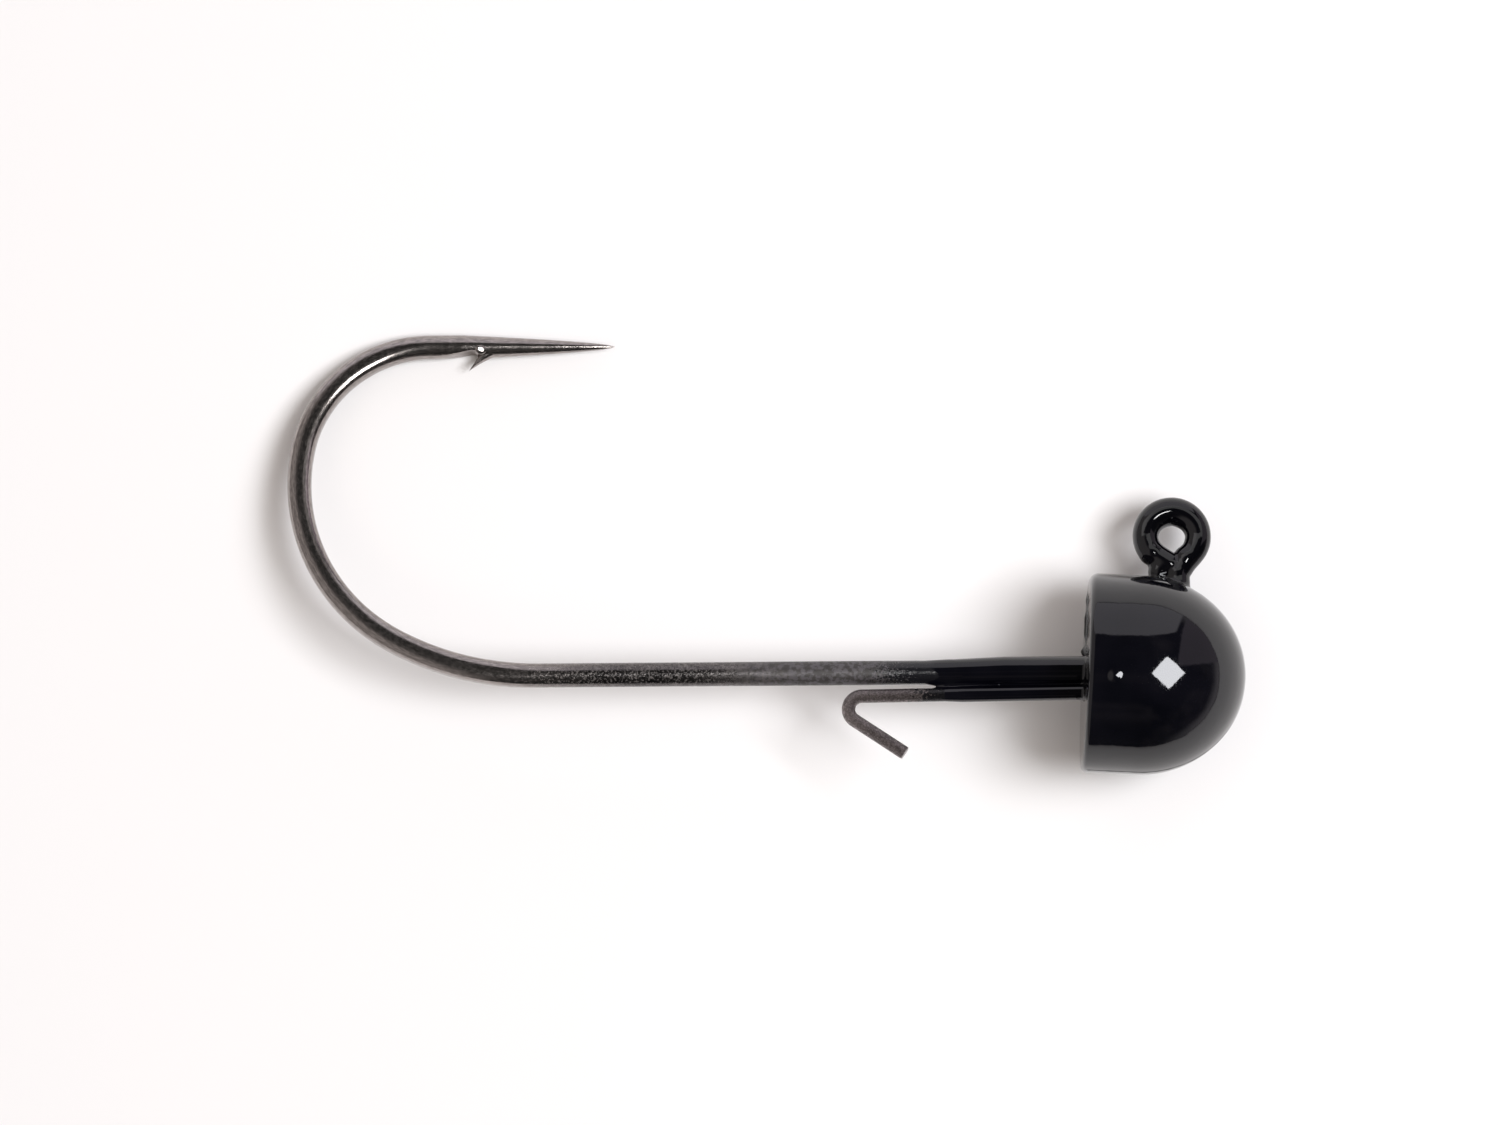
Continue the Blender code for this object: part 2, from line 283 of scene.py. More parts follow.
def hook_plane_matrix():
    """From millimetres in the hook plane to metres in the frame, by the CAD's box and its roll."""
    point = point_wire()
    gape = max(y for _, y, _, _, _ in point.stations)
    roll = asin((HEAD_RADIUS - WIRE_RADIUS) / gape)
    left = min(x for x, _, _, _, _ in point.stations) - WIRE_RADIUS
    x = cad_low.x - left * MM
    y = cad_high.y - (gape * cos(roll) + WIRE_RADIUS) * MM
    z = cad_low.z + (HEAD_RADIUS - HEAD_DROP * sin(roll)) * MM
    turn = Matrix.Rotation(-roll, 4, "X")
    return Matrix.Translation((x, y, z)) @ turn @ Matrix.Scale(MM, 4)


PLANE = hook_plane_matrix()


def to_plane(lx, ly, lz):
    """From the head's own axes to the hook plane."""
    c, s = cos(HEAD_TILT), sin(HEAD_TILT)
    return c * lx + s * ly, -s * lx + c * ly - HEAD_DROP, lz


def to_head(points):
    """From the hook plane to the head's own axes."""
    c, s = cos(HEAD_TILT), sin(HEAD_TILT)
    x, y = points[:, 0], points[:, 1] + HEAD_DROP
    return np.stack([c * x - s * y, s * x + c * y, points[:, 2]], 1)


# ---------------------------------------------------------------- mesh helpers


def mesh_object(name, points, faces, sharp=None):
    mesh = bpy.data.meshes.new(name)
    mesh.from_pydata([tuple(p) for p in points], [], faces)
    mesh.transform(PLANE)
    mesh.validate()
    mesh.shade_smooth()
    if sharp is not None:
        mesh.set_sharp_from_angle(angle=radians(sharp))
    obj = bpy.data.objects.new(name, mesh)
    bpy.context.scene.collection.objects.link(obj)
    return obj


def bands(count, sides):
    """The quads between each ring of points and the next."""
    faces = []
    for i in range(count - 1):
        a, b = i * sides, (i + 1) * sides
        for j in range(sides):
            k = (j + 1) % sides
            faces.append((a + j, a + k, b + k, b + j))
    return faces


def stack(name, points, count, sides):
    """A small closed solid through a stack of rings, with flat ends."""
    first = tuple(range(sides))[::-1]
    last = tuple(range((count - 1) * sides, count * sides))
    solid = mesh_object(name, points, bands(count, sides) + [first, last])
    fix = bmesh.new()
    fix.from_mesh(solid.data)
    bmesh.ops.recalc_face_normals(fix, faces=fix.faces)
    fix.to_mesh(solid.data)
    fix.free()
    return solid


def sweep(stations, sides, reshape=None):
    """Points and faces of a closed tube along the stations. reshape may move a ring's offsets."""
    angles = np.arange(sides) * tau / sides
    points = []
    for x, y, heading, radius, along in stations:
        across = radius * np.cos(angles)
        out = radius * np.sin(angles)
        if reshape:
            across, out = reshape(along, across, out)
        points.append(np.stack([x - across * sin(heading), y + across * cos(heading), out], 1))
    points = np.concatenate(points)
    faces = bands(len(stations), sides)
    first, last = len(points), len(points) + 1
    middles = [points[:sides].mean(0, keepdims=True), points[-sides:].mean(0, keepdims=True)]
    points = np.concatenate([points, *middles])
    end = (len(stations) - 1) * sides
    for j in range(sides):
        k = (j + 1) % sides
        faces.append((first, k, j))
        faces.append((last, end + j, end + k))
    return points, faces


def rounded_ends(stations, bevel_start, bevel_end, steps=3):
    """The stations with both cut ends bevelled by these radii."""

    def bevel(station, size, sense):
        x, y, h, r, s = station
        made = []
        for i in range(1, steps + 1):
            a = pi / 2 * i / steps
            d = size * sin(a) * sense
            made.append((x + d * cos(h), y + d * sin(h), h, r - size * (1 - cos(a)), s + d))
        return made

    out = list(stations)
    if bevel_start:
        x, y, h, r, s = out[0]
        shifted = (x + bevel_start * cos(h), y + bevel_start * sin(h), h, r, s + bevel_start)
        out = bevel(shifted, bevel_start, -1)[::-1] + [shifted] + out[1:]
    if bevel_end:
        x, y, h, r, s = out[-1]
        shifted = (x - bevel_end * cos(h), y - bevel_end * sin(h), h, r, s - bevel_end)
        out = out[:-1] + [shifted] + bevel(shifted, bevel_end, 1)
    return out


def tag_wire(obj, stations):
    """Gives each vertex its place on the wire: along, across and out of the hook plane."""
    tree = KDTree(len(stations))
    for i, station in enumerate(stations):
        tree.insert((station[0], station[1], 0.0), i)
    tree.balance()
    back = PLANE.inverted()
    values = np.zeros((len(obj.data.vertices), 3), np.float32)
    for i, vertex in enumerate(obj.data.vertices):
        p = back @ vertex.co
        _, nearest, _ = tree.find((p.x, p.y, 0.0))
        x, y, h, _, along = stations[nearest]
        forward = (p.x - x) * cos(h) + (p.y - y) * sin(h)
        values[i] = (along + forward, -(p.x - x) * sin(h) + (p.y - y) * cos(h), p.z)
    attribute = obj.data.attributes.new("wire", "FLOAT_VECTOR", "POINT")
    attribute.data.foreach_set("vector", values.ravel())


def join(obj, other):
    """Joins the other closed mesh to the object and removes it."""
    modifier = obj.modifiers.new("boolean", "BOOLEAN")
    modifier.operation = "UNION"
    modifier.solver = "EXACT"
    modifier.object = other
    graph = bpy.context.evaluated_depsgraph_get()
    made = bpy.data.meshes.new_from_object(obj.evaluated_get(graph))
    obj.modifiers.clear()
    old = obj.data
    made.name = old.name
    obj.data = made
    bpy.data.meshes.remove(old)
    bpy.data.objects.remove(other)
    made.shade_smooth()


# ---------------------------------------------------------------- distance fields


def line_distance(points, x0, y0, x1, y1, radius):
    """Distance from each point to a round-ended rod in the hook plane."""
    dx, dy = x1 - x0, y1 - y0
    t = ((points[:, 0] - x0) * dx + (points[:, 1] - y0) * dy) / (dx * dx + dy * dy)
    t = np.clip(t, 0, 1)
    qx, qy = x0 + t * dx, y0 + t * dy
    flat = (points[:, 0] - qx) ** 2 + (points[:, 1] - qy) ** 2
    return np.sqrt(flat + points[:, 2] ** 2) - radius


def smooth_min(a, b, k):
    """The smaller of the two, with a fillet where they are within k of each other."""
    h = np.maximum(k - np.abs(a - b), 0.0)
    return np.minimum(a, b) - h * h / (4 * k)


def head_distance(points):
    """Roughly the distance to the head's painted surface, exact at the surface itself."""
    local = to_head(points)
    lx, r = local[:, 0], np.hypot(local[:, 1], local[:, 2])
    nose_x = (lx - SKIRT_LENGTH) / NOSE_LENGTH
    k0 = np.hypot(nose_x, r / HEAD_RADIUS)
    k1 = np.hypot(nose_x / NOSE_LENGTH, r / HEAD_RADIUS**2)
    nose = k0 * (k0 - 1) / np.maximum(k1, 1e-9)
    side = np.where(lx > SKIRT_LENGTH, nose, r - HEAD_RADIUS)
    return np.maximum(side, -lx)


CORNERS = [(i, j, k) for i in (0, 1) for j in (0, 1) for k in (0, 1)]
EDGES = [
    (a, b)
    for a in range(8)
    for b in range(a + 1, 8)
    if sum(abs(CORNERS[a][n] - CORNERS[b][n]) for n in range(3)) == 1
]
NET_PROBE = 0.05  # share of a step over which the slope is measured
NET_PASSES = 4
NET_LEAST_SLOPE = 0.05
NET_REACH = 0.35  # share of a step that a point may move in a pass


def net(name, field, low, high, step):
    """A closed mesh where the field is zero: a surface net, pulled onto the field."""
    low = np.array(low, float)
    shape = [ceil((h - l) / step) + 1 for l, h in zip(low, high)]
    axes = [low[n] + step * np.arange(shape[n]) for n in range(3)]
    grid = np.stack(np.meshgrid(*axes, indexing="ij"), -1)
    values = np.empty(shape)
    for i in range(shape[0]):
        values[i] = field(grid[i].reshape(-1, 3)).reshape(shape[1], shape[2])
    cells = [n - 1 for n in shape]
    corner = [values[i : i + cells[0], j : j + cells[1], k : k + cells[2]] for i, j, k in CORNERS]
    inside = sum((c < 0).astype(int) for c in corner)
    active = (inside > 0) & (inside < 8)
    index = np.full(cells, -1)
    index[active] = np.arange(active.sum())
    where = np.argwhere(active)
    total = np.zeros((len(where), 3))
    crossings = np.zeros(len(where))
    for a, b in EDGES:
        va, vb = corner[a][active], corner[b][active]
        cross = (va < 0) != (vb < 0)
        t = np.where(cross, va / np.where(cross, va - vb, 1.0), 0.0)
        pa, pb = np.array(CORNERS[a], float), np.array(CORNERS[b], float)
        total += np.where(cross[:, None], pa + t[:, None] * (pb - pa), 0.0)
        crossings += cross
    points = low + step * (where + total / crossings[:, None])
    small = step * NET_PROBE
    for _ in range(NET_PASSES):
        here = field(points)
        slopes = [
            (field(points + small * axis) - field(points - small * axis)) / (2 * small)
            for axis in np.eye(3)
        ]
        gradient = np.stack(slopes, 1)
        size = np.maximum((gradient**2).sum(1), NET_LEAST_SLOPE)
        move = -(here / size)[:, None] * gradient
        length = np.linalg.norm(move, axis=1, keepdims=True)
        points += move * np.minimum(1.0, NET_REACH * step / np.maximum(length, 1e-9))
    faces = []
    for n in range(3):
        a, b = [(1, 2), (2, 0), (0, 1)][n]
        near = [slice(None)] * 3
        far = [slice(None)] * 3
        near[n], far[n] = slice(0, -1), slice(1, None)
        v0, v1 = values[tuple(near)], values[tuple(far)]
        for spot in np.argwhere((v0 < 0) != (v1 < 0)):
            if min(spot[a], spot[b]) == 0 or spot[a] >= cells[a] or spot[b] >= cells[b]:
                continue
            quad = []
            for da, db in ((1, 1), (0, 1), (0, 0), (1, 0)):
                cell = spot.copy()
                cell[a] -= da
                cell[b] -= db
                quad.append(int(index[tuple(cell)]))
            if v0[tuple(spot)] > 0:
                quad.reverse()
            faces.append(tuple(quad))
    return mesh_object(name, points, faces)


# ---------------------------------------------------------------- steel


def clamp(value):
    return min(max(value, 0.0), 1.0)


def make_hook():
    """The hook, with the scooped cut in the point and the barb that the cut raised."""
    point = point_wire()
    end = point.stations[-1]
    stations = back_to_back(eye_wire(), point)
    total = end[4]

    def section(along, across, out):
        """Squares the bend a little, as forging does, and scoops the barb's side of the point."""
        forged = clamp((along - FORGE_START) / FORGE_EASE) * clamp((FORGE_END - along) / FORGE_EASE)
        if forged > 0:
            power = 2.0 + FORGE_SQUARE * forged
            size = (np.abs(across) ** power + np.abs(out) ** power) ** (1 / power) / WIRE_RADIUS
            across, out = across / size, out / size
        back = total - along
        if not SCOOP_START < back < SCOOP_END:
            return across, out
        depth = min((SCOOP_END - back) / SCOOP_EASE, 1.0) ** SCOOP_POWER
        limit = WIRE_RADIUS * SCOOP_CLEARANCE - SCOOP_DEPTH * depth
        return -smooth_min(-across, np.full_like(across, limit), SCOOP_BLEND), out

    tube = sweep(rounded_ends(stations, HOOK_END_BEVEL, 0.0), HOOK_SIDES, section)
    hook = mesh_object("hook", *tube)
    join(hook, make_barb(end))
    join(hook, make_nick(end))
    hook.data.set_sharp_from_angle(angle=radians(STEEL_SHARP))
    tag_wire(hook, stations)
    return hook


def bezier(p0, p1, p2, t):
    return [(1 - t) ** 2 * p0[n] + 2 * t * (1 - t) * p1[n] + t * t * p2[n] for n in range(2)]


def from_tip(end, back, below, out):
    """A point given by its distances back from the hook's tip and below the point's axis."""
    tip_x, tip_y, heading, _, _ = end
    dx, dy = cos(heading), sin(heading)
    return tip_x - back * dx + below * dy, tip_y - back * dy - below * dx, out


def make_barb(end):
    """A sliver that curls out of the point's shank side and runs back to a sharp tip."""
    points = []
    for i in range(BARB_STEPS + 1):
        t = i / BARB_STEPS
        front = bezier(*BARB_FRONT, t)
        rear = bezier(*BARB_REAR, t)
        half_width = BARB_HALF_WIDTH * (1 - t) ** BARB_NARROWING + BARB_TIP_HALF_WIDTH
        middle = [(front[n] + rear[n]) / 2 for n in range(2)]
        half = [(front[n] - rear[n]) / 2 for n in range(2)]
        for j in range(BARB_SIDES):
            a = tau * j / BARB_SIDES
            c = cos(a)
            c = c if c > 0 else -(abs(c) ** 0.5)
            back, below = middle[0] + half[0] * c, middle[1] + half[1] * c
            points.append(from_tip(end, back, below, half_width * sin(a)))
    return stack("barb", points, BARB_STEPS + 1, BARB_SIDES)


def make_nick(end):
    """The small bright flat that the chisel left at the barb's root."""
    points = []
    for scale, drop in NICK_DOME:
        for j in range(NICK_SIDES):
            a = tau * j / NICK_SIDES
            u, v = NICK_HALF_LENGTH * scale * cos(a), NICK_HALF_WIDTH * scale * sin(a)
            out = NICK_TOP - NICK_SLOPE[0] * u - NICK_SLOPE[1] * v - drop
            points.append(from_tip(end, NICK_BACK - u, NICK_BELOW + v, out))
    return stack("nick", points, len(NICK_DOME), NICK_SIDES)


def make_keeper():
    wire = back_to_back(keeper_root(), keeper_tail())
    stations = rounded_ends(wire, KEEPER_ROOT_BEVEL, KEEPER_TIP_BEVEL)
    keeper = mesh_object("bait_keeper", *sweep(stations, KEEPER_SIDES), sharp=STEEL_SHARP)
    tag_wire(keeper, stations)
    return keeper


# ---------------------------------------------------------------- paint


def head_outline(inset, fine, rim):
    """Radius and height from the nose tip round the rim to the middle of the rear face."""
    radius = HEAD_RADIUS - inset
    nose = NOSE_LENGTH - inset
    round_off = rim - inset
    outline = [(0.0, SKIRT_LENGTH + nose)]
    count = int(90 * fine)
    for i in range(1, count + 1):
        a = pi / 2 * i / count
        outline.append((radius * sin(a), SKIRT_LENGTH + nose * cos(a)))
    count = int(40 * fine)
    for i in range(1, count + 1):
        outline.append((radius, SKIRT_LENGTH + (inset + round_off - SKIRT_LENGTH) * i / count))
    count = int(12 * fine)
    for i in range(1, count + 1):
        a = pi / 2 * i / count
        outline.append((radius - round_off * (1 - cos(a)), inset + round_off * (1 - sin(a))))
    count = int(40 * fine)
    for i in range(1, count + 1):
        outline.append(((radius - round_off) * (1 - i / count), inset))
    return outline


def turned(outline_at, angles, shape=None):
    """A closed shell turned about the head's axis, with a half outline for each angle."""
    outlines = np.array([outline_at(a) for a in angles])
    sides, rings = len(angles), outlines.shape[1] - 2
    around = np.tile(angles, rings)
    r = outlines[:, 1:-1, 0].T.ravel()
    x = outlines[:, 1:-1, 1].T.ravel()
    if shape:
        r, x = shape(around, r, x)
    points = np.stack([x, r * np.cos(around), r * np.sin(around)], 1)
    ends = [(outlines[0, 0, 1], 0.0, 0.0), (outlines[0, -1, 1], 0.0, 0.0)]
    points = np.concatenate([points, ends])
    faces = [(a, d, c, b) for a, b, c, d in bands(rings, sides)]
    tip, middle, last = rings * sides, rings * sides + 1, (rings - 1) * sides
    for j in range(sides):
        k = (j + 1) % sides
        faces.append((tip, j, k))
        faces.append((middle, last + k, last + j))
    return np.stack(to_plane(*points.T), 1), faces


def bump_at(distance, reach, height):
    """A low round swelling, height tall in the middle and gone at its reach."""
    return height * np.clip(1 - (distance / reach) ** 2, 0, None) ** 2


def mould_marks(around, r, x):
    """The parting line in the hook plane, flash up the rear face, a paint run and a few lumps."""
    off = r * np.sin(around)  # distance from the parting plane
    eye_side = np.cos(around) > 0
    line = np.exp(-((off / 0.06) ** 2)) * (np.abs(off) < 0.4)
    skirt = x > 0.3
    wander = 0.5 + 0.5 * np.sin(3.1 * x + 0.7) * np.sin(7.7 * x)
    ridge = 0.018 + 0.014 * wander
    gate = bump_at(x - 1.55, 0.62, 0.11)
    seam = bump_at(x - 6.85, 0.35, 0.05)
    ridge = ridge + np.where(eye_side, gate + seam, 0.0)
    lift = np.where(skirt & (r > 0.5), line * ridge, 0.0)
    run = np.hypot(x - RUN_X, (around - RUN_TURN) * HEAD_RADIUS)
    lift = lift + np.where(skirt, bump_at(run, 0.42, 0.085), 0.0)
    rear = (x < 0.02) & eye_side
    ragged = 0.10 + 0.035 * np.sin(3.1 * r + 0.4) + 0.015 * np.sin(7.3 * r)
    flash = ragged * np.clip((r - 0.6) / 0.3, 0, 1) * np.clip((4.2 - r) / 0.5, 0, 1)
    wide = np.exp(-((off / 0.09) ** 2)) * (np.abs(off) < 0.5)
    lump = bump_at(np.hypot(r - 1.07, off), 0.34, 0.16)
    return r + lift, x - np.where(rear, flash * wide + lump, 0.0)


def make_head_enamel():
    """The head's shell of paint, outside and inside."""
    even = np.arange(HEAD_SIDES) * tau / HEAD_SIDES
    angles = even - HEAD_CROWDING * np.sin(2 * even)
    inner_angles = np.arange(HEAD_INNER_SIDES) * tau / HEAD_INNER_SIDES

    def outside(a):
        rim = RIM_ROUND + RIM_WEAR * (0.5 + 0.5 * cos(a)) ** 2
        return head_outline(0.0, 1.0, rim)

    def inside(a):
        return head_outline(HEAD_COAT, HEAD_INNER_FINENESS, RIM_ROUND)

    outer, outer_faces = turned(outside, angles, mould_marks)
    inner, inner_faces = turned(inside, inner_angles)
    shift = len(outer)
    faces = outer_faces + [tuple(shift + v for v in f[::-1]) for f in inner_faces]
    return mesh_object("head_enamel", np.concatenate([outer, inner]), faces, sharp=HEAD_SHARP)


def ring_distance(points, ring):
    """Distance to the painted ring, which is thicker over the top where the paint hung."""
    cx, cy, bend, first, turn = ring
    middle = first + turn / 2
    angle = np.arctan2(points[:, 1] - cy, points[:, 0] - cx) - middle
    angle = (angle + pi) % tau - pi
    angle = middle + np.clip(angle, -turn / 2, turn / 2)
    top = np.clip(np.sin(angle), 0, None) ** 1.5
    side = np.abs(np.cos(angle))
    at = bend - 0.040 * top - 0.022 * side - 0.012 * np.cos(angle)
    qx, qy = cx + at * np.cos(angle), cy + at * np.sin(angle)
    flat = np.hypot(points[:, 0] - qx, points[:, 1] - qy)
    return np.hypot(flat, points[:, 2]) - (EYE_COAT + 0.105 * top + 0.035 * side)


def ball_distance(points, x, y, radius, length=1.0):
    """Distance to a ball in the hook plane, stretched along x by this factor."""
    flat = ((points[:, 0] - x) / length) ** 2 + (points[:, 1] - y) ** 2
    return np.sqrt(flat + points[:, 2] ** 2) - radius


def make_eye_enamel():
    """Paint over the ring, its cut end and the stem, pooled in the crotch and on the head."""
    ring = eye_wire().arcs[RING_ARC]
    stem_x, neck_y = 4.70, 4.98

    def field(p):
        cut_end = line_distance(p, 3.46, 6.02, 4.30, 5.46, EYE_COAT)
        loop = smooth_min(ring_distance(p, ring), cut_end, 0.12)
        stem = line_distance(p, stem_x, 1.0, stem_x, neck_y, EYE_COAT)
        neck = line_distance(p, stem_x, neck_y, 5.24, 5.80, EYE_COAT)
        post = smooth_min(stem, neck, 0.05)
        made = smooth_min(loop, post, 0.13)
        made = smooth_min(made, ball_distance(p, 3.78, 5.06, 0.50, 1.1), 0.28)
        body = head_distance(p)
        made = smooth_min(made, body + HEAD_LIFT, 0.30)
        made = np.maximum(made, ball_distance(p, 4.4, 6.3, 2.75))
        return np.maximum(made, -(body + HEAD_SINK))

    return net("eye_enamel", field, (2.2, 3.9, -2.0), (6.9, 9.1, 2.0), EYE_NET_STEP)


def coat_radius(steel, coat, fade):
    """A paint's radius: its full size where fade is 1, and just inside the steel where it is 0."""
    return steel - COAT_OVERLAP + (coat - steel + COAT_OVERLAP) * fade


def make_shank_enamel():
    """Paint on the shank and the keeper's root, webbed between them and pooled on the head."""
    splay = np.tan(radians(KEEPER_SPLAY))

    def field(p):
        x = -p[:, 0]
        turn = np.arctan2(p[:, 2], p[:, 1])
        end = SHANK_COAT_END + 0.25 * np.sin(2 * turn + 1.0) + 0.12 * np.sin(5 * turn)
        fade = np.clip((end - x) / 1.6, -0.3, 1.0)
        sag = SHANK_SAG * np.clip((6.5 - x) / 2.5, 0, 1)
        radius = coat_radius(WIRE_RADIUS, SHANK_COAT, fade) + sag
        shank = np.hypot(p[:, 1] - sag, p[:, 2]) - radius
        keeper_y = p[:, 1] + KEEPER_DROP + x * splay
        fade = np.clip((KEEPER_COAT_END - x) / 1.2, -0.3, 1.0)
        keeper = np.hypot(keeper_y, p[:, 2]) - coat_radius(KEEPER_RADIUS, KEEPER_COAT, fade)
        web = 0.16 + 0.26 * np.clip((x - 4.0) / 3.0, 0, 1)
        made = smooth_min(shank, keeper, web * np.clip((9.0 - x) / 1.3, 0.04, 1.0))
        body = head_distance(p)
        made = smooth_min(made, body + HEAD_LIFT, 0.22)
        reach = np.hypot(p[:, 1] + 0.4, p[:, 2]) - 1.5
        made = np.maximum(np.maximum(made, reach), x - 9.2)
        return np.maximum(made, -(body + HEAD_SINK))

    return net("shank_enamel", field, (-9.4, -2.2, -1.7), (0.3, 1.4, 1.7), SHANK_NET_STEP)


# ---------------------------------------------------------------- materials

# Colours are linear. The enamel's are for its darker and lighter areas and its dust.
ENAMEL_DARK = (0.0008, 0.0008, 0.0020)
ENAMEL_LIGHT = (0.0020, 0.0019, 0.0036)
ENAMEL_DUST = (0.16, 0.15, 0.14)
PAINT_FLECK = (0.006, 0.006, 0.008)
BEND_DARK = (0.25, 0.226, 0.215)
BEND_LIGHT = (0.40, 0.362, 0.345)
SHANK_DARK = (0.050, 0.047, 0.047)
SHANK_LIGHT = (0.185, 0.172, 0.168)
SHANK_BLOTCH = (0.045, 0.043, 0.046)
SHANK_SPECK = (0.090, 0.083, 0.082)
DULL_DARK = (0.004, 0.004, 0.005)
DULL_LIGHT = (0.050, 0.047, 0.056)
KEEPER_DARK = (0.150, 0.131, 0.131)
KEEPER_LIGHT = (0.37, 0.327, 0.327)
# painted sheen: a lighter colour laid on the keeper's bend where it catches the light
KEEPER_BEND_SHEEN = (0.46, 0.41, 0.405)
KEEPER_PIT = (0.055, 0.049, 0.049)
KEEPER_CUT = (0.50, 0.48, 0.47)
LEAD_DARK = (0.16, 0.16, 0.17)
LEAD_LIGHT = (0.34, 0.34, 0.35)
FINE_BUMP = 0.010 * MM
CAST_BUMP = 0.03 * MM


class Nodes:
    """Short calls that add and link nodes in one material."""

    def __init__(self, owner):
        owner.use_nodes = True
        self.owner = owner
        self.tree = owner.node_tree
        self.shader = self.tree.nodes.get("Principled BSDF")

    def link(self, source, target):
        self.tree.links.new(source, target)

    def put(self, socket, value):
        if isinstance(value, bpy.types.NodeSocket):
            self.link(value, socket)
        else:
            socket.default_value = value

    def attribute(self, name):
        node = self.tree.nodes.new("ShaderNodeAttribute")
        node.attribute_name = name
        return node.outputs["Vector"]

    def place(self):
        """Object coordinates in millimetres."""
        node = self.tree.nodes.new("ShaderNodeTexCoord")
        return self.stretch(node.outputs["Object"], (1 / MM, 1 / MM, 1 / MM))

    def stretch(self, vector, scale):
        node = self.tree.nodes.new("ShaderNodeMapping")
        self.link(vector, node.inputs["Vector"])
        node.inputs["Scale"].default_value = scale
        return node.outputs["Vector"]

    def noise(self, vector, scale, detail=3.0, roughness=0.5, distortion=0.0):
        node = self.tree.nodes.new("ShaderNodeTexNoise")
        self.link(vector, node.inputs["Vector"])
        node.inputs["Scale"].default_value = scale
        node.inputs["Detail"].default_value = detail
        node.inputs["Roughness"].default_value = roughness
        node.inputs["Distortion"].default_value = distortion
        return node.outputs["Fac"]

    def spots(self, vector, scale, radius, share):
        """Sparse round spots of 1: this share of the cells of a cell pattern hold one."""
        node = self.tree.nodes.new("ShaderNodeTexVoronoi")
        self.link(vector, node.inputs["Vector"])
        node.inputs["Scale"].default_value = scale
        close = self.ramp(node.outputs["Distance"], radius, radius * 0.6)
        parts = self.tree.nodes.new("ShaderNodeSeparateColor")
        self.link(node.outputs["Color"], parts.inputs["Color"])
        chosen = self.ramp(parts.outputs["Red"], share, share * 0.9)
        return self.times(close, chosen)

    def ramp(self, value, low, high, to_low=0.0, to_high=1.0):
        """A smooth step from to_low to to_high as the value goes from low to high."""
        node = self.tree.nodes.new("ShaderNodeMapRange")
        node.interpolation_type = "SMOOTHSTEP"
        self.put(node.inputs["Value"], value)
        node.inputs["From Min"].default_value = low
        node.inputs["From Max"].default_value = high
        node.inputs["To Min"].default_value = to_low
        node.inputs["To Max"].default_value = to_high
        return node.outputs["Result"]

    def math(self, operation, a, b=0.0, c=0.0):
        node = self.tree.nodes.new("ShaderNodeMath")
        node.operation = operation
        for socket, value in zip(node.inputs, (a, b, c)):
            self.put(socket, value)
        return node.outputs["Value"]

    def times(self, a, b):
        return self.math("MULTIPLY", a, b)

    def less(self, value):
        """One less the value."""
        return self.math("SUBTRACT", 1.0, value)

    def add_part(self, value, share, to):
        """The value times the share, plus what it is added to."""
        return self.math("MULTIPLY_ADD", value, share, to)

    def mix(self, share, a, b):
        node = self.tree.nodes.new("ShaderNodeMix")
        node.data_type = "RGBA"
        self.put(node.inputs["Factor"], share)
        self.put(node.inputs["A"], a if isinstance(a, bpy.types.NodeSocket) else (*a, 1.0))
        self.put(node.inputs["B"], b if isinstance(b, bpy.types.NodeSocket) else (*b, 1.0))
        return node.outputs["Result"]

    def split(self, vector):
        node = self.tree.nodes.new("ShaderNodeSeparateXYZ")
        self.link(vector, node.inputs["Vector"])
        return node.outputs["X"], node.outputs["Y"], node.outputs["Z"]

    def bump(self, height, depth):
        """Raises the surface by the height times the depth, which is in metres."""
        node = self.tree.nodes.new("ShaderNodeBump")
        self.link(height, node.inputs["Height"])
        node.inputs["Distance"].default_value = depth
        self.link(node.outputs["Normal"], self.shader.inputs["Normal"])


def enamel(name, dust):
    """Baked gloss black enamel: faint orange peel, a few dust specks and slightly uneven gloss."""
    n = Nodes(bpy.data.materials.new(name))
    place = n.place()
    broad = n.noise(place, 0.35, 2.0)
    fine = n.noise(place, 9.0, 3.0)
    specks = n.spots(place, 0.9, 0.05, dust)
    colour = n.mix(n.ramp(broad, 0.35, 0.65), ENAMEL_DARK, ENAMEL_LIGHT)
    colour = n.mix(n.times(specks, 0.7), colour, ENAMEL_DUST)
    n.link(colour, n.shader.inputs["Base Color"])
    gloss = n.add_part(n.ramp(fine, 0.45, 0.75), 0.05, 0.045)
    gloss = n.add_part(specks, 0.3, gloss)
    n.link(gloss, n.shader.inputs["Roughness"])
    n.shader.inputs["IOR"].default_value = 1.52
    peel = n.noise(place, 1.1, 2.0, 0.4)
    height = n.add_part(fine, 0.04, peel)
    height = n.add_part(specks, 0.6, height)
    n.bump(height, FINE_BUMP)
    return n.owner


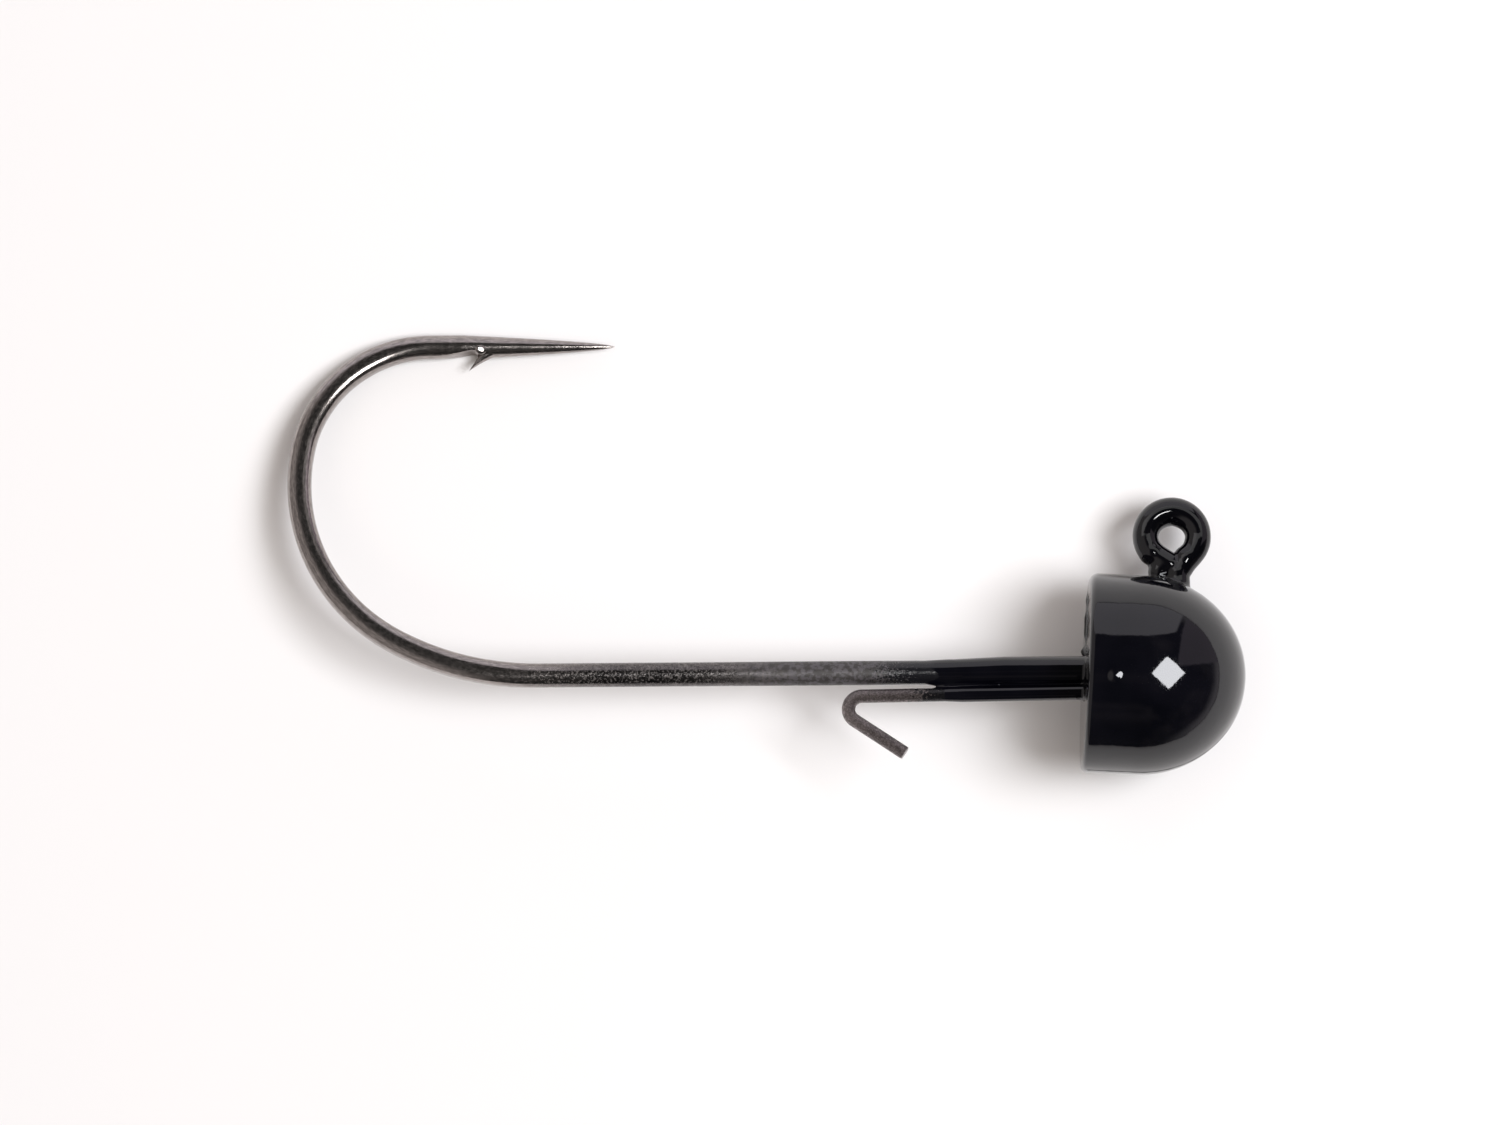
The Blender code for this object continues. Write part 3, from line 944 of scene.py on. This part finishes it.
def hook_steel():
    """Black nickel on drawn wire: polished bend, mottled shank, dull and flecked by the paint."""
    n = Nodes(bpy.data.materials.new("black_nickel_hook"))
    wire = n.attribute("wire")
    along, _, _ = n.split(wire)
    flow = n.stretch(wire, (0.25, 1.0, 1.0))
    shank = n.ramp(along, 30.0, 23.0)
    dull = n.ramp(along, 20.0, 13.0)
    mottle = n.noise(wire, 6.0, 4.0, 0.65, 0.4)
    specks = n.times(n.ramp(n.noise(wire, 8.5, 3.0, 0.6), 0.50, 0.66), shank)
    blotch = n.noise(n.stretch(wire, (0.5, 1.0, 1.0)), 1.6, 3.0)
    lines = n.noise(flow, 12.0, 2.0)
    polished = n.mix(n.ramp(lines, 0.3, 0.75), BEND_DARK, BEND_LIGHT)
    worn = n.mix(n.ramp(mottle, 0.40, 0.62), SHANK_DARK, SHANK_LIGHT)
    worn = n.mix(n.ramp(blotch, 0.40, 0.66, 0.0, 0.6), worn, SHANK_BLOTCH)
    worn = n.mix(specks, worn, SHANK_SPECK)
    grain = n.ramp(n.noise(wire, 4.5, 2.0, 0.5), 0.43, 0.59)
    pale = n.mix(grain, DULL_DARK, DULL_LIGHT)
    worn = n.mix(dull, worn, pale)
    colour = n.mix(n.times(shank, 0.9), polished, worn)
    flecks = n.noise(wire, 10.0, 3.0, 0.6)
    near = n.ramp(along, 13.6, 7.0)
    flecked = n.ramp(n.add_part(near, 0.60, flecks), 0.74, 0.96)
    colour = n.mix(flecked, colour, PAINT_FLECK)
    n.link(colour, n.shader.inputs["Base Color"])
    matt = n.math("MAXIMUM", n.times(dull, 0.8), n.times(specks, 0.6))
    n.link(n.times(n.less(flecked), n.less(matt)), n.shader.inputs["Metallic"])
    rough = n.add_part(matt, 0.36, 0.16)
    rough = n.add_part(n.ramp(mottle, 0.4, 0.6), 0.06, rough)
    rough = n.times(rough, n.ramp(flecked, 0.0, 1.0, 1.0, 0.35))
    n.link(rough, n.shader.inputs["Roughness"])
    height = n.add_part(n.times(mottle, shank), 1.0, n.times(lines, 0.25))
    height = n.add_part(flecked, 0.5, height)
    n.bump(height, FINE_BUMP)
    return n.owner


def keeper_steel():
    """Darkened spring wire: dull and grainy, paler at the cut end, with a painted sheen that makes
    the bend lighter.
    """
    n = Nodes(bpy.data.materials.new("darkened_keeper_wire"))
    wire = n.attribute("wire")
    along, _, _ = n.split(wire)
    lines = n.noise(n.stretch(wire, (0.6, 1.0, 1.0)), 14.0, 3.0, 0.6)
    grain = n.ramp(n.noise(wire, 9.0, 4.0, 0.7), 0.42, 0.64)
    colour = n.mix(n.ramp(lines, 0.35, 0.68), KEEPER_DARK, KEEPER_LIGHT)
    # painted sheen: the bend's stretch of wire is mixed towards a lighter colour
    bend = n.times(n.ramp(along, 9.6, 11.2), n.ramp(along, 14.2, 12.6))
    colour = n.mix(n.times(bend, 0.45), colour, KEEPER_BEND_SHEEN)
    colour = n.mix(n.times(n.less(grain), 0.6), colour, KEEPER_PIT)
    colour = n.mix(n.ramp(along, 15.7, 15.78, 0.0, 0.8), colour, KEEPER_CUT)
    near = n.ramp(along, 10.2, 6.6)
    flecks = n.noise(wire, 6.0, 3.0)
    flecked = n.ramp(n.add_part(near, 0.60, flecks), 0.76, 0.92)
    colour = n.mix(flecked, colour, PAINT_FLECK)
    n.link(colour, n.shader.inputs["Base Color"])
    metal = n.times(n.less(flecked), n.ramp(grain, 0.0, 1.0, 0.55, 0.9))
    n.link(metal, n.shader.inputs["Metallic"])
    rough = n.add_part(grain, -0.10, 0.42)
    rough = n.times(rough, n.ramp(flecked, 0.0, 1.0, 1.0, 0.35))
    n.link(rough, n.shader.inputs["Roughness"])
    height = n.add_part(flecked, 0.5, n.add_part(grain, 0.6, lines))
    n.bump(height, FINE_BUMP)
    return n.owner


def lead():
    """Dull cast lead."""
    n = Nodes(bpy.data.materials.new("cast_lead"))
    cast = n.noise(n.place(), 1.4, 5.0, 0.6)
    n.link(n.mix(n.ramp(cast, 0.3, 0.7), LEAD_DARK, LEAD_LIGHT), n.shader.inputs["Base Color"])
    n.shader.inputs["Metallic"].default_value = 1.0
    n.link(n.ramp(cast, 0.3, 0.7, 0.5, 0.7), n.shader.inputs["Roughness"])
    n.bump(cast, CAST_BUMP)
    return n.owner


def dress(obj, material, node):
    """Gives a piece its material and puts it in the place of a CAD node."""
    obj.data.materials.clear()
    obj.data.materials.append(material)
    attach(obj, "root")
    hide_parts(node)


# ---------------------------------------------------------------- studio

# Places are in metres. A slope is how far a light stands to each side for each metre of height.
TABLE_HALF = 1.5
TABLE_DARK = (0.72, 0.715, 0.71)
TABLE_LIGHT = (0.73, 0.725, 0.72)
LIGHT_TARGET = (0.014, -0.006, 0.0)
STRIP_HEIGHT = 0.35
BEND_PLACE = (-0.0175, 0.0088, 0.001)
EYE_PLACE = (0.0206, 0.0064, 0.007)
CEILING_DARK = (0.034, 0.036, 0.034)
CEILING_LIGHT = (0.11, 0.10, 0.10)
LEFT_COLOUR = (0.46, 0.43, 0.42)
GLOW_COLOUR = (0.62, 0.58, 0.60)
SHELF_COLOUR = (0.44, 0.39, 0.44)
WALL_COLOUR = (0.95, 0.92, 0.98)


def make_floor():
    mesh = bpy.data.meshes.new("table")
    h = TABLE_HALF
    mesh.from_pydata([(-h, -h, 0), (h, -h, 0), (h, h, 0), (-h, h, 0)], [], [(0, 1, 2, 3)])
    table = bpy.data.objects.new("table", mesh)
    bpy.context.scene.collection.objects.link(table)
    table.location.z = cad_low.z
    n = Nodes(bpy.data.materials.new("white_table"))
    place = n.place()
    grain = n.noise(place, 0.05, 2.0)
    n.link(n.mix(grain, TABLE_DARK, TABLE_LIGHT), n.shader.inputs["Base Color"])
    n.shader.inputs["Roughness"].default_value = 0.9
    n.shader.inputs["Specular IOR Level"].default_value = 0.2
    table.data.materials.append(n.owner)


def new_lamp(name, shape, size, watts):
    data = bpy.data.lights.new(name, "AREA")
    data.shape = shape
    data.size = size
    data.energy = watts
    lamp = bpy.data.objects.new(name, data)
    bpy.context.scene.collection.objects.link(lamp)
    return lamp


def area_light(name, place, size, watts, colour, spin=0.0, glossy=True):
    """A square lamp turned to the object; spin turns it about its own axis."""
    lamp = new_lamp(name, "SQUARE", size, watts)
    lamp.data.color = colour
    lamp.location = place
    turn = (Vector(LIGHT_TARGET) - lamp.location).to_track_quat("-Z", "Y")
    lamp.rotation_euler = (turn.to_matrix().to_4x4() @ Matrix.Rotation(spin, 4, "Z")).to_euler()
    lamp.visible_glossy = glossy
    return lamp


def strip_light(name, near, slope, along, length, width, radiance):
    """A strip facing a place near the object, at a slope from it, running along a heading."""
    lamp = new_lamp(name, "RECTANGLE", length, radiance * pi * length * width)
    lamp.data.size_y = width
    near = Vector(near)
    lamp.location = near + STRIP_HEIGHT * Vector((*slope, 1.0))
    back = (lamp.location - near).normalized()
    side = Vector((*along, 0.0))
    side = (side - side.dot(back) * back).normalized()
    lamp.rotation_euler = Matrix((side, back.cross(side), back)).transposed().to_euler()
    return lamp


def link_lights(lamp, objects, state):
    """Lets the lamp light only these objects, or all but these where the state is EXCLUDE."""
    group = bpy.data.collections.new(lamp.name + "_lights")
    for obj in objects:
        group.objects.link(obj)
    lamp.light_linking.receiver_collection = group
    for linked in group.collection_objects:
        linked.light_linking.link_state = state


def make_lights(hook, keeper, eye):
    """A softbox to the right makes the shadows; strips and panels give the wires highlights."""
    key = area_light(
        "key", (0.222, 0.020, 0.40), 0.20, 2.0, (0.98, 0.99, 1.03), spin=radians(40)
    )
    link_lights(key, [hook, keeper, eye], "EXCLUDE")
    area_light("overhead", (0.15, 0.0, 0.50), 0.22, 0.55, (1.0, 0.98, 0.96), glossy=False)
    area_light("fill", (-0.02, 0.02, 0.60), 1.0, 1.45, (1.14, 0.98, 0.86), glossy=False)
    strips = (
        ("bend_strip", hook, BEND_PLACE, (0.40, -0.06), (0.566, -0.824), 0.15, 0.095, 22.0),
        ("hook_panel", hook, BEND_PLACE, (0.85, 0.66), (1.0, 0.0), 0.40, 0.24, 0.26),
        ("eye_strip", eye, EYE_PLACE, (0.22, 0.10), (0.37, -0.93), 0.042, 0.05, 26.0),
        ("eye_panel", eye, EYE_PLACE, (0.0, 0.80), (1.0, 0.0), 0.70, 0.16, 0.9),
    )
    for name, lit, *strip in strips:
        link_lights(strip_light(name, *strip), [lit], "INCLUDE")


def make_studio():
    """A dark ceiling with a pale wall, a shelf and low glows, mostly seen in reflections."""
    world = bpy.data.worlds.new("studio")
    bpy.context.scene.world = world
    n = Nodes(world)
    direction = n.tree.nodes.new("ShaderNodeTexCoord").outputs["Generated"]
    right, up, high = n.split(direction)
    wall = n.times(n.ramp(up, 0.715, 0.74), n.ramp(right, 0.57, 0.53))
    glow = n.times(n.ramp(high, 0.22, 0.0), n.ramp(right, 0.15, 0.85))
    shelf = n.times(n.ramp(right, 0.60, 0.63), n.ramp(up, 0.16, 0.20))
    left = n.ramp(right, -0.14, -0.40)
    soft = n.noise(direction, 2.2, 2.0)
    colour = n.mix(n.ramp(soft, 0.45, 0.75), CEILING_DARK, CEILING_LIGHT)
    colour = n.mix(left, colour, LEFT_COLOUR)
    colour = n.mix(glow, colour, GLOW_COLOUR)
    colour = n.mix(shelf, colour, SHELF_COLOUR)
    colour = n.mix(wall, colour, WALL_COLOUR)
    background = n.tree.nodes["Background"]
    n.link(colour, background.inputs["Color"])
    background.inputs["Strength"].default_value = 1.0
    bpy.context.scene.view_settings.view_transform = "Standard"


def make_camera():
    """Looks straight down with a long lens."""
    data = bpy.data.cameras.new("camera")
    data.lens = 160.0
    data.sensor_width = 36.0
    data.clip_start = 0.01
    data.clip_end = 10.0
    camera = bpy.data.objects.new("camera", data)
    bpy.context.scene.collection.objects.link(camera)
    camera.location = (-0.000703, -0.000446, 0.335)
    camera.rotation_euler = (0.0, 0.0, radians(-0.43))
    bpy.context.scene.camera = camera


make_camera()
make_studio()
make_floor()
hook = make_hook()
keeper = make_keeper()
head = make_head_enamel()
eye = make_eye_enamel()
shank = make_shank_enamel()
dress(hook, hook_steel(), "jig_hook")
dress(keeper, keeper_steel(), "keeper_wire")
dress(head, enamel("gloss_enamel_head", 0.05), "head_coat")
dress(eye, enamel("gloss_enamel_eye", 0.02), "eye_coat")
dress(shank, enamel("gloss_enamel_shank", 0.12), "shank_coat")
make_lights(hook, keeper, eye)
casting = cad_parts["head_casting"]
casting.data.materials.clear()
casting.data.materials.append(lead())
